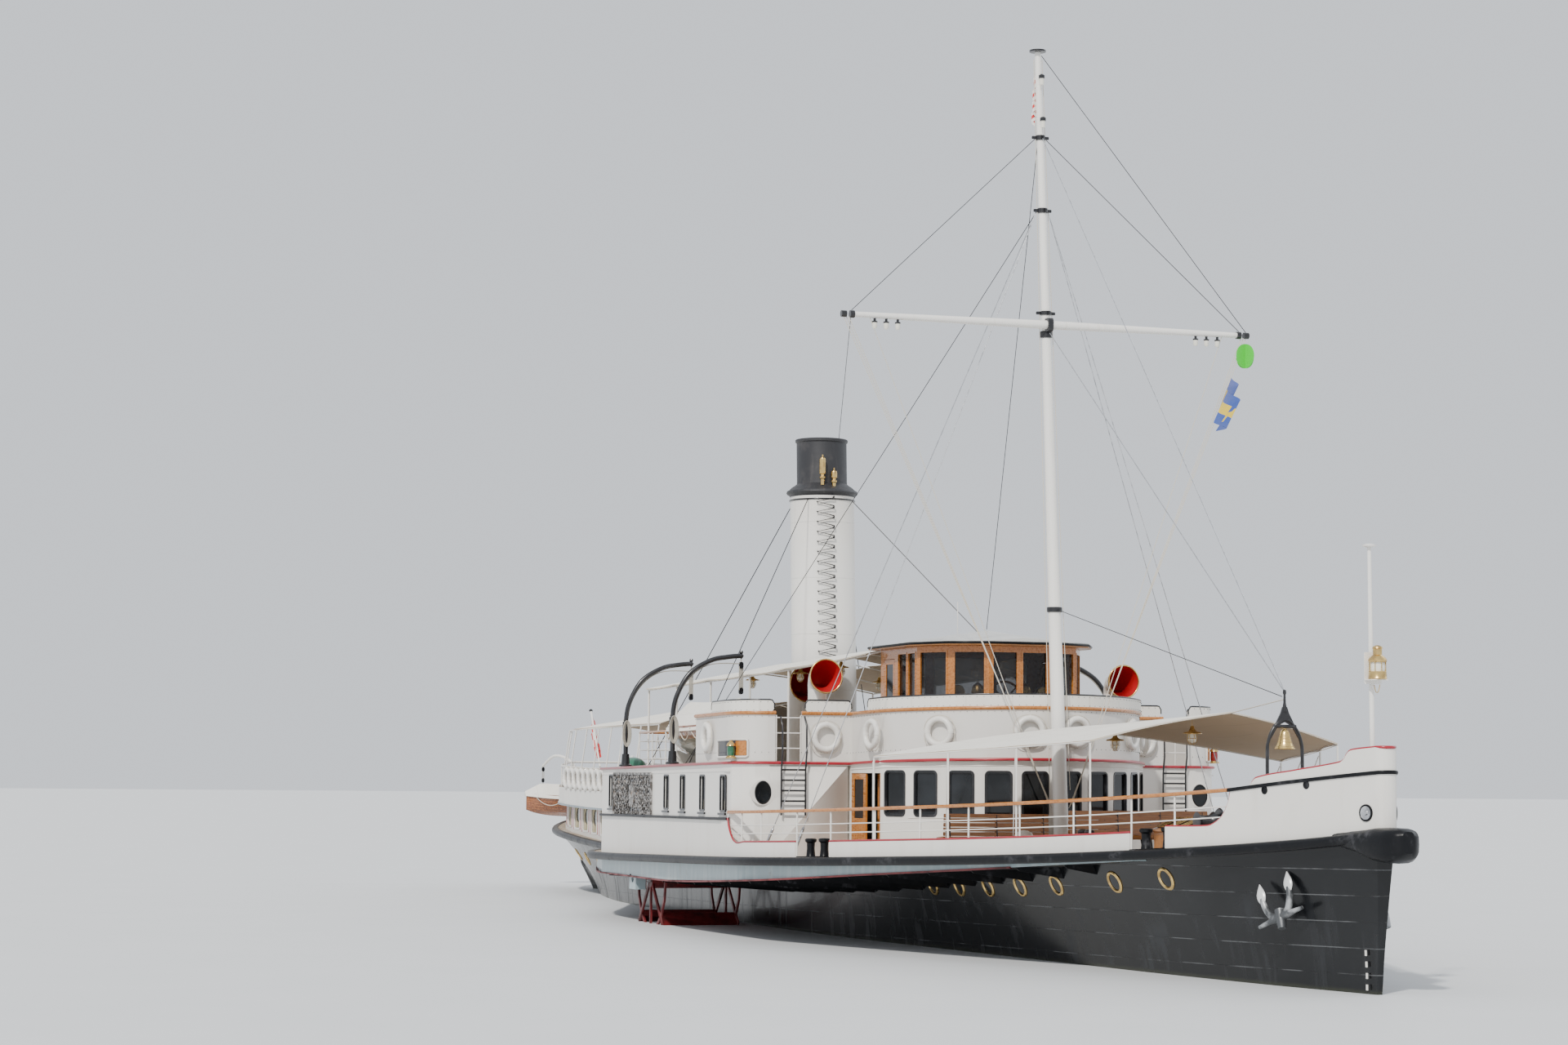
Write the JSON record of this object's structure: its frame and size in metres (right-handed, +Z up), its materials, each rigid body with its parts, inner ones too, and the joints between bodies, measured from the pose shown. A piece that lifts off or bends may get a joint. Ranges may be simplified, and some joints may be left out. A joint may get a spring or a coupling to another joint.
{
  "type": "paddle steamer, 1:2 scale model",
  "caption": "Side-wheel paddle steamer afloat: long black hull, plated paddle boxes, glazed saloons, bridge with wheelhouse, raked funnel, mast with yard, awnings and boats.",
  "frame": {"origin": "centreline amidships at the waterline, where the ship floats", "axes": "+X towards the bow, +Y to port, +Z up"},
  "size_m": [29.615, 6.44, 10.9793],
  "materials": {
    "black_paint": "gloss black paint over riveted plates",
    "engine_iron": "dark oiled iron",
    "deck_planks": "oiled planks",
    "blue_grey_paint": "weathered light blue-grey paint",
    "white_paint": "semi-gloss warm white paint",
    "grey_white_paint": "satin grey-white paint over rivets",
    "varnished_wood": "varnished hardwood",
    "canvas": "heavy cotton canvas",
    "black_iron": "black painted iron",
    "galvanised_steel": "dull galvanised steel",
    "brass": "polished brass",
    "red_paint": "dark red underwater paint"
  },
  "bodies": {
    "ship": {"hull": "black_paint", "engine_block": "engine_iron", "boiler_block": "engine_iron", "main_deck": "deck_planks", "rubbing_strake": "black_paint", "sponson_starboard": "blue_grey_paint", "sponson_port": "blue_grey_paint", "bow_bulwark": "white_paint", "foredeck_rail_starboard": "white_paint", "foredeck_rail_port": "white_paint", "foredeck_bench": "deck_planks", "paddle_box_starboard": "white_paint", "paddle_box_port": "white_paint", "fore_saloon": "white_paint", "midship_casing": "white_paint", "aft_saloon": "white_paint", "promenade_deck": "grey_white_paint", "aft_deck": "white_paint", "aft_rail": "white_paint", "stern_boat": "varnished_wood", "lifeboat_starboard": "varnished_wood", "lifeboat_port": "varnished_wood", "bridge_bulwark": "grey_white_paint", "wheelhouse": "varnished_wood", "wheelhouse_roof": "varnished_wood", "cowl_fore_starboard": "white_paint", "cowl_fore_port": "white_paint", "cowl_aft_starboard": "white_paint", "cowl_aft_port": "white_paint", "funnel": "white_paint", "companion_hood": "canvas", "promenade_rail": "white_paint", "promenade_awning_frame": "white_paint", "promenade_awning": "canvas", "aft_awning": "canvas", "fore_awning": "canvas", "anchor_starboard": "galvanised_steel", "anchor_port": "galvanised_steel", "bell_frame": "black_iron", "jackstaff": "white_paint", "mast": "white_paint", "forestay": "galvanised_steel", "shrouds_starboard": "galvanised_steel", "shrouds_port": "galvanised_steel"},
    "wheels": {"paddle_shaft": "galvanised_steel", "paddle_wheel_starboard": "red_paint", "paddle_wheel_port": "red_paint"},
    "rudder": {"rudder": "red_paint"},
    "door_aft_starboard": {"saloon_door_aft_starboard": "varnished_wood"},
    "door_fore_starboard": {"saloon_door_fore_starboard": "varnished_wood"},
    "door_aft_port": {"saloon_door_aft_port": "varnished_wood"},
    "door_fore_port": {"saloon_door_fore_port": "varnished_wood"},
    "bridge_door_starboard": {"wheelhouse_door_starboard": "varnished_wood"},
    "bridge_door_port": {"wheelhouse_door_port": "varnished_wood"},
    "davit_aft_starboard": {"davit_aft_starboard": "black_iron"},
    "davit_fore_starboard": {"davit_fore_starboard": "black_iron"},
    "davit_aft_port": {"davit_aft_port": "black_iron"},
    "davit_fore_port": {"davit_fore_port": "black_iron"},
    "bell": {"bell": "brass"}
  },
  "joints": [
    {"name": "wheel_spin", "type": "hinge", "parent": "ship", "child": "wheels", "pos_m": [-0.15, 0, 0.575], "axis": [0, 1, 0], "continuous": true},
    {"name": "rudder_turn", "type": "hinge", "parent": "ship", "child": "rudder", "pos_m": [-13.025, 0, 0], "axis": [0, 0, 1], "range_deg": [-35, 35]},
    {"name": "door_aft_starboard_swing", "type": "hinge", "parent": "ship", "child": "door_aft_starboard", "pos_m": [4.48399, -1.64471, 1.4], "axis": [0, 0, 1], "range_deg": [0, 90]},
    {"name": "door_fore_starboard_swing", "type": "hinge", "parent": "ship", "child": "door_fore_starboard", "pos_m": [5.28742, -1.58043, 1.4], "axis": [0, 0, -1], "range_deg": [-20, 70]},
    {"name": "door_aft_port_swing", "type": "hinge", "parent": "ship", "child": "door_aft_port", "pos_m": [4.48399, 1.64471, 1.4], "axis": [0, 0, -1], "range_deg": [0, 90]},
    {"name": "door_fore_port_swing", "type": "hinge", "parent": "ship", "child": "door_fore_port", "pos_m": [5.28742, 1.58043, 1.4], "axis": [0, 0, 1], "range_deg": [-20, 70]},
    {"name": "bridge_door_starboard_swing", "type": "hinge", "parent": "ship", "child": "bridge_door_starboard", "pos_m": [3.731, -1.01, 2.6], "axis": [0, 0, -1], "range_deg": [0, 90]},
    {"name": "bridge_door_port_swing", "type": "hinge", "parent": "ship", "child": "bridge_door_port", "pos_m": [3.731, 1.01, 2.6], "axis": [0, 0, 1], "range_deg": [0, 90]},
    {"name": "davit_aft_starboard_turn", "type": "hinge", "parent": "ship", "child": "davit_aft_starboard", "pos_m": [-0.925, -2.94, 2], "axis": [0, 0, 1], "range_deg": [0, 180]},
    {"name": "davit_fore_starboard_turn", "type": "hinge", "parent": "ship", "child": "davit_fore_starboard", "pos_m": [1.35, -2.94, 2], "axis": [0, 0, -1], "range_deg": [0, 180]},
    {"name": "davit_aft_port_turn", "type": "hinge", "parent": "ship", "child": "davit_aft_port", "pos_m": [-0.925, 2.94, 2], "axis": [0, 0, -1], "range_deg": [0, 180]},
    {"name": "davit_fore_port_turn", "type": "hinge", "parent": "ship", "child": "davit_fore_port", "pos_m": [1.35, 2.94, 2], "axis": [0, 0, 1], "range_deg": [0, 180]},
    {"name": "bell_swing", "type": "hinge", "parent": "ship", "child": "bell", "pos_m": [12.15, 0, 2.36], "axis": [0, 1, 0], "range_deg": [-30, 30]}
  ]
}
